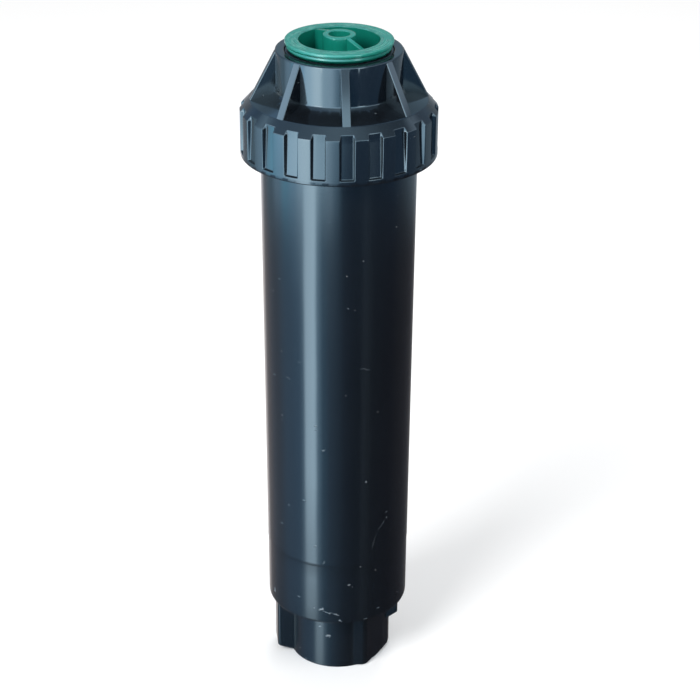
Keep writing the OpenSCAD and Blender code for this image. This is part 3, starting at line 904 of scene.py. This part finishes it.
# Down, which the upright walls reflect to a camera above them.
FLOOR_SIDE = (
    (-180, (0.30, 0.29, 0.29)), (-168, (0.9, 0.84, 0.82)), (-157, (0.95, 0.9, 0.9)),
    (-145, (0.42, 0.40, 0.42)), (-112, (0.30, 0.37, 0.48)), (-80, (0.38, 0.68, 1.06)),
    (-64, (0.42, 0.84, 1.35)), (-56, (0.8, 1.5, 2.2)), (-51, (4.6, 6.6, 8.1)),
    (-37, (5.2, 7.5, 9.2)), (-32, (1.2, 2.2, 3.1)), (-23, (0.38, 0.84, 1.3)),
    (-10, (0.24, 0.46, 0.72)), (2, (0.14, 0.28, 0.45)), (10, (0.07, 0.14, 0.24)),
    (26, (0.025, 0.06, 0.11)), (34, (0.02, 0.05, 0.09)), (40, (0.13, 0.19, 0.26)),
    (49, (0.08, 0.12, 0.16)), (56, (0.03, 0.045, 0.07)), (84, (0.03, 0.03, 0.05)),
    (110, (0.07, 0.07, 0.085)), (140, (0.09, 0.09, 0.105)), (180, (0.30, 0.29, 0.29)),
)
# Less steeply down, which the cap and its neck reflect.
LEVEL_SIDE = (
    (-180, (0.45, 0.46, 0.48)), (-165, (1.1, 1.1, 1.15)), (-140, (0.36, 0.44, 0.52)),
    (-120, (0.42, 0.74, 0.98)), (-100, (1.3, 2.2, 3.0)), (-84, (1.5, 3.8, 5.4)),
    (-70, (2.6, 5.0, 7.0)), (-58, (4.7, 7.4, 9.4)), (-38, (6.4, 9.2, 11.0)), (-25, (3.6, 5.8, 7.4)),
    (-13, (3.4, 5.4, 7.0)), (-3, (1.5, 2.8, 3.9)), (6, (0.2, 0.5, 0.85)), (16, (0.09, 0.28, 0.55)),
    (80, (0.13, 0.30, 0.54)), (120, (0.3, 0.46, 0.6)), (150, (0.3, 0.38, 0.45)),
    (180, (0.45, 0.46, 0.48)),
)
# Nearly level, which tilted surfaces and edges reflect.
EDGE_SIDE = (
    (-180, (0.45, 0.46, 0.48)), (-140, (0.36, 0.44, 0.52)), (-120, (0.42, 0.74, 0.98)),
    (-100, (0.9, 1.6, 2.2)), (-84, (0.9, 2.2, 3.2)), (-70, (1.8, 3.6, 5.0)), (-56, (4.0, 6.4, 8.2)),
    (-46, (6.0, 8.6, 10.4)), (-41, (10.0, 12.6, 14.0)), (-33, (10.0, 12.6, 14.0)),
    (-28, (4.2, 6.4, 7.8)), (-13, (3.4, 5.4, 7.0)), (0, (2.8, 4.6, 6.0)), (14, (1.7, 2.9, 3.8)),
    (30, (1.0, 1.8, 2.4)), (36, (5.5, 7.6, 8.8)), (42, (5.5, 7.6, 8.8)), (48, (0.3, 0.6, 0.9)),
    (80, (0.13, 0.30, 0.54)), (120, (0.3, 0.46, 0.6)), (150, (0.3, 0.38, 0.45)),
    (180, (0.45, 0.46, 0.48)),
)
# Upwards, at the height of a window.
WINDOW_SIDE = (
    (-180, (0.31, 0.50, 0.65)), (-128, (0.25, 0.48, 0.78)), (-108, (1.2, 2.0, 2.7)),
    (-90, (3.4, 5.2, 6.8)), (-20, (3.3, 5.2, 6.6)), (40, (3.0, 4.7, 5.9)), (70, (1.9, 2.7, 3.4)),
    (105, (1.5, 2.1, 2.7)), (126, (0.3, 0.46, 0.66)), (180, (0.31, 0.50, 0.65)),
)
# Overhead.
CEILING = (
    (-180, (0.55, 1.05, 1.65)), (-100, (0.5, 0.9, 1.35)), (0, (1.05, 1.7, 2.25)),
    (100, (0.25, 0.42, 0.6)), (180, (0.55, 1.05, 1.65)),
)

# The layers above LOW_SIDE: the stops, the z of a unit direction where the layer starts to take over from
# the one below it and where it has done so, and how it takes over.
LAYERS = (
    (FLOOR_SIDE, -0.59, -0.518, "LINEAR"),
    (LEVEL_SIDE, -0.398, -0.360, "SMOOTHSTEP"),
    (EDGE_SIDE, -0.25, -0.16, "SMOOTHSTEP"),
    (WINDOW_SIDE, 0.16, 0.32, "SMOOTHSTEP"),
    (CEILING, 0.54, 0.65, "SMOOTHSTEP"),
)


def around(room, turn, stops):
    """Colour by compass direction, between stops of (degrees, colour)."""
    node = room.add("ShaderNodeValToRGB", {"Fac": room.band(turn, -180, 180)})
    node.color_ramp.interpolation = "EASE"
    elements = node.color_ramp.elements
    while len(elements) < len(stops):
        elements.new(0.5)
    for element, (angle, tint) in zip(elements, stops):
        element.position = (angle + 180) / 360
        element.color = (*tint, 1)
    return node.outputs["Color"]


def make_world():
    """Room whose layers show in reflections. Diffuse light is even, and the camera sees white."""
    world = bpy.data.worlds.new("room")
    bpy.context.scene.world = world
    world.use_nodes = True
    world.cycles.sampling_method = "NONE"
    world.node_tree.nodes.clear()
    room = Graph(world.node_tree)
    direction = room.parts(room.add("ShaderNodeTexCoord").outputs["Generated"])
    towards_front = room.math("MULTIPLY", direction["Y"], -1.0)
    turn = room.math("MULTIPLY", room.math("ARCTAN2", direction["X"], towards_front), 180 / math.pi)
    colour = around(room, turn, LOW_SIDE)
    for stops, start, full, ease in LAYERS:
        share = room.band(direction["Z"], start, full, ease=ease)
        colour = room.mix(share, colour, around(room, turn, stops))
    plain = room.add("ShaderNodeBackground", {"Color": WHITE}).outputs[0]
    reflected = room.add("ShaderNodeBackground", {"Color": colour}).outputs[0]
    soft = room.add("ShaderNodeBackground", {"Color": (0.45, 0.455, 0.46, 1)}).outputs[0]
    ray = room.add("ShaderNodeLightPath").outputs
    lit = room.choose(ray["Is Diffuse Ray"], reflected, soft)
    room.add("ShaderNodeOutputWorld", {"Surface": room.choose(ray["Is Camera Ray"], lit, plain)})


def make_lights():
    """Three round lamps (name, place, size, power) that light the plastic and aren't reflected in it."""
    aim = Vector((0, 0, 0.1))
    for name, place, size, power in (
        ("window", (-0.9, -1.1, 1.3), 0.9, 29.0),
        ("fill", (1.2, -0.8, 1.6), 1.2, 11.0),
        ("back", (0.3, 1.3, 1.5), 1.0, 13.0),
    ):
        data = bpy.data.lights.new(name, "AREA")
        data.shape = "DISK"
        data.size = size
        data.energy = power
        lamp = bpy.data.objects.new(name, data)
        lamp.location = place
        lamp.rotation_euler = (aim - Vector(place)).to_track_quat("-Z", "Y").to_euler()
        lamp.visible_glossy = False
        bpy.context.scene.collection.objects.link(lamp)


make_floor()
make_world()
make_lights()
bpy.context.scene.view_settings.view_transform = "Standard"
